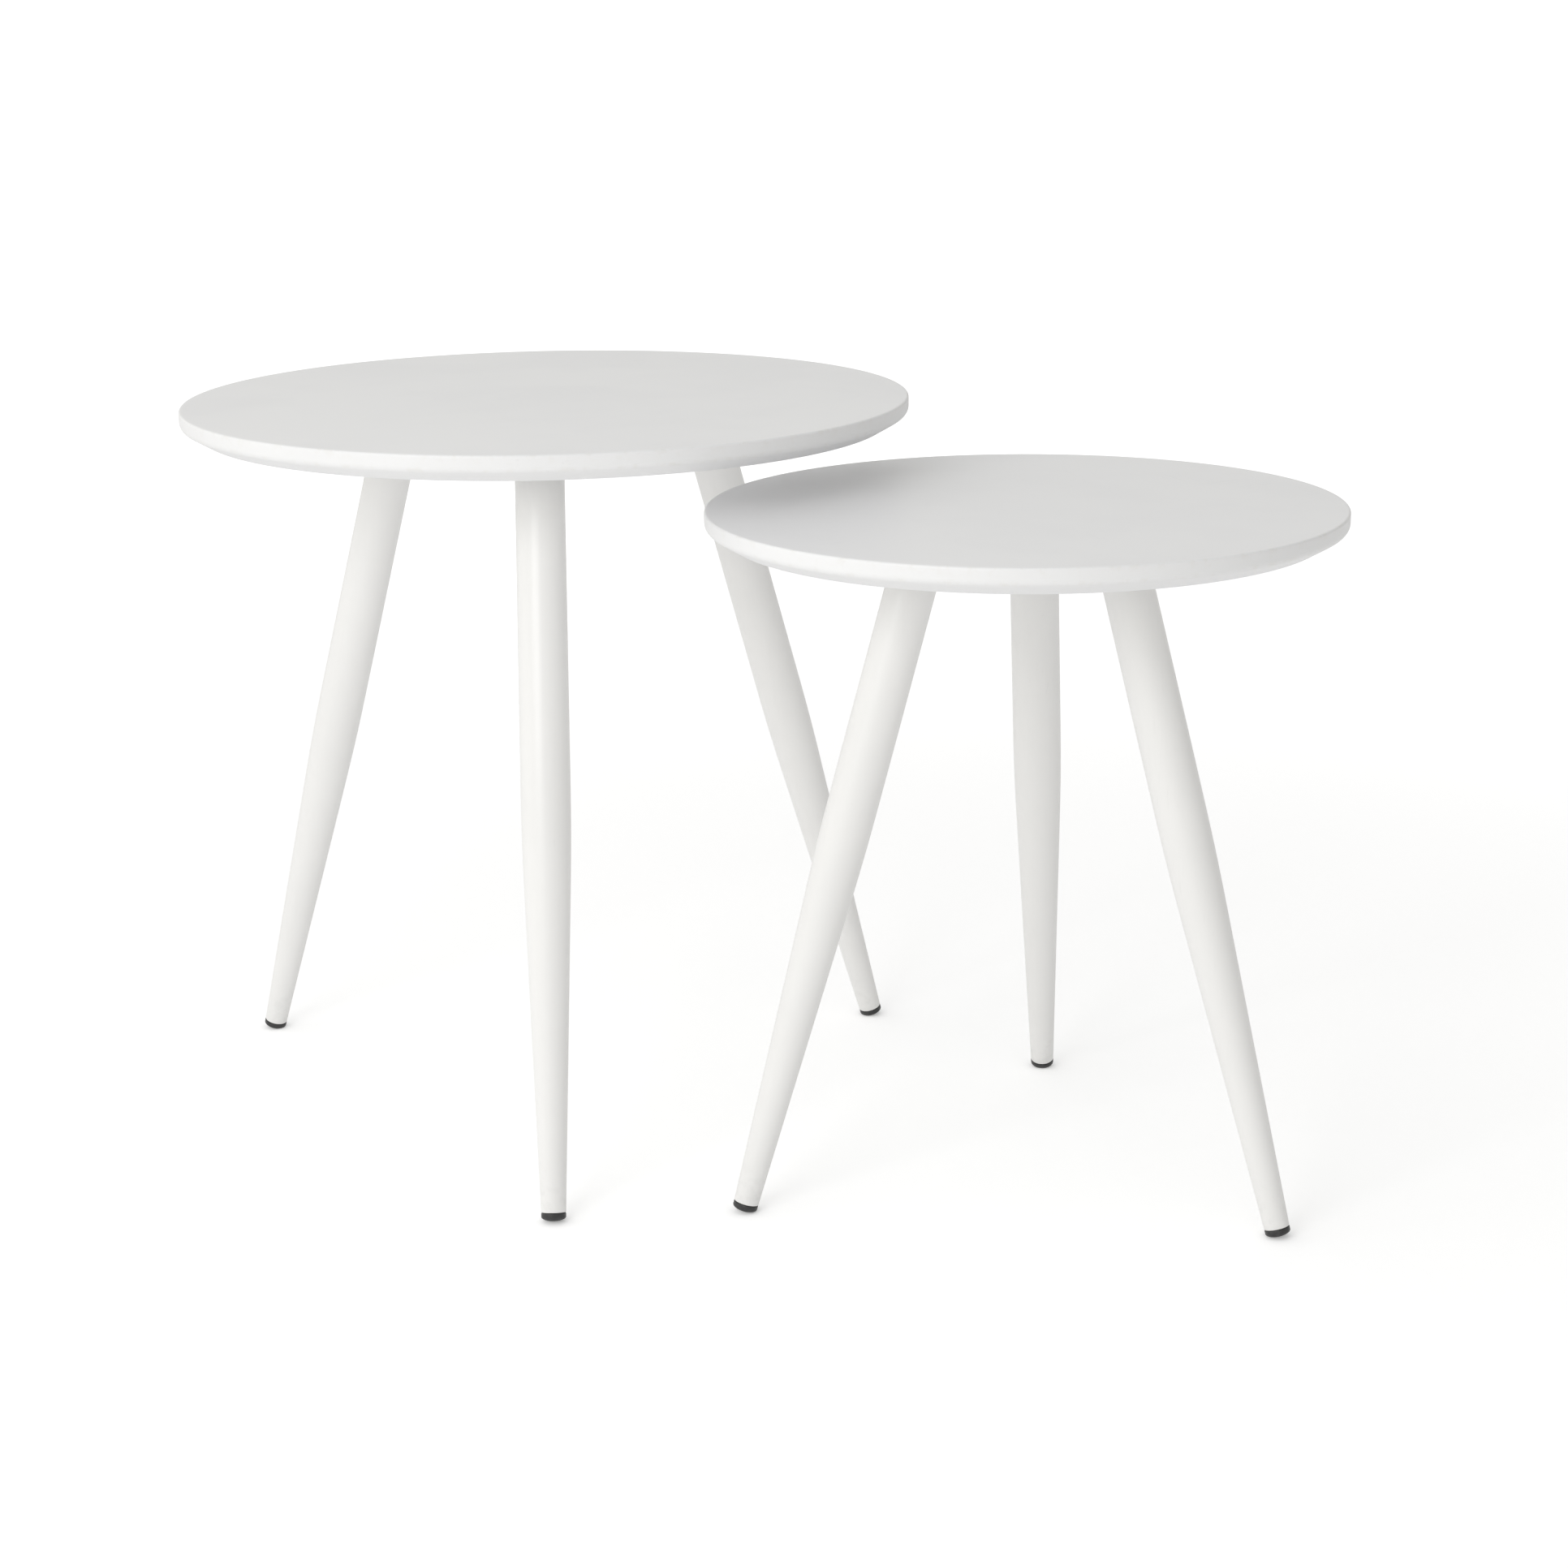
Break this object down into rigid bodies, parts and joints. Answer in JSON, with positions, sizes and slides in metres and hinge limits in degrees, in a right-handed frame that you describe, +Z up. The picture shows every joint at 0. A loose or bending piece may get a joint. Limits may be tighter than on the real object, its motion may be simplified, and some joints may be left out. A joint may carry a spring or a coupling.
{
  "type": "nesting tables",
  "caption": "Nest of two round tables, a large one and a lower one that slides in under it, each a bevelled board on splayed tapering tube legs with domed glides.",
  "frame": {"origin": "on the floor, under the middle of the bounding box of the two tables at rest", "axes": "+X from the large table's centre to the small table's, +Z up"},
  "size_m": [0.825, 0.49, 0.49],
  "materials": {
    "board": "satin white lacquer on fibreboard",
    "leg": "satin warm-white powder coat on steel tube",
    "zinc": "bright zinc plate",
    "glide": "moulded charcoal polyethylene"
  },
  "bodies": {
    "large_table": {"large_top": "board", "large_outer_leg_plate": "zinc", "large_outer_leg_screw_1": "zinc", "large_outer_leg_screw_2": "zinc", "large_outer_leg_screw_3": "zinc", "large_outer_leg_screw_4": "zinc", "large_outer_leg_stud": "zinc", "large_outer_leg_insert": "zinc", "large_outer_leg_tube": "leg", "large_outer_leg_glide": "glide", "large_front_leg_plate": "zinc", "large_front_leg_screw_1": "zinc", "large_front_leg_screw_2": "zinc", "large_front_leg_screw_3": "zinc", "large_front_leg_screw_4": "zinc", "large_front_leg_stud": "zinc", "large_front_leg_insert": "zinc", "large_front_leg_tube": "leg", "large_front_leg_glide": "glide", "large_rear_leg_plate": "zinc", "large_rear_leg_screw_1": "zinc", "large_rear_leg_screw_2": "zinc", "large_rear_leg_screw_3": "zinc", "large_rear_leg_screw_4": "zinc", "large_rear_leg_stud": "zinc", "large_rear_leg_insert": "zinc", "large_rear_leg_tube": "leg", "large_rear_leg_glide": "glide"},
    "small_table": {"small_top": "board", "small_outer_leg_plate": "zinc", "small_outer_leg_screw_1": "zinc", "small_outer_leg_screw_2": "zinc", "small_outer_leg_screw_3": "zinc", "small_outer_leg_screw_4": "zinc", "small_outer_leg_stud": "zinc", "small_outer_leg_insert": "zinc", "small_outer_leg_tube": "leg", "small_outer_leg_glide": "glide", "small_rear_leg_plate": "zinc", "small_rear_leg_screw_1": "zinc", "small_rear_leg_screw_2": "zinc", "small_rear_leg_screw_3": "zinc", "small_rear_leg_screw_4": "zinc", "small_rear_leg_stud": "zinc", "small_rear_leg_insert": "zinc", "small_rear_leg_tube": "leg", "small_rear_leg_glide": "glide", "small_front_leg_plate": "zinc", "small_front_leg_screw_1": "zinc", "small_front_leg_screw_2": "zinc", "small_front_leg_screw_3": "zinc", "small_front_leg_screw_4": "zinc", "small_front_leg_stud": "zinc", "small_front_leg_insert": "zinc", "small_front_leg_tube": "leg", "small_front_leg_glide": "glide"}
  },
  "joints": [
    {"name": "small_table_slide", "type": "slide", "parent": "large_table", "child": "small_table", "axis": [1, 0, 0], "range_m": [-0.097, 0.15]}
  ]
}
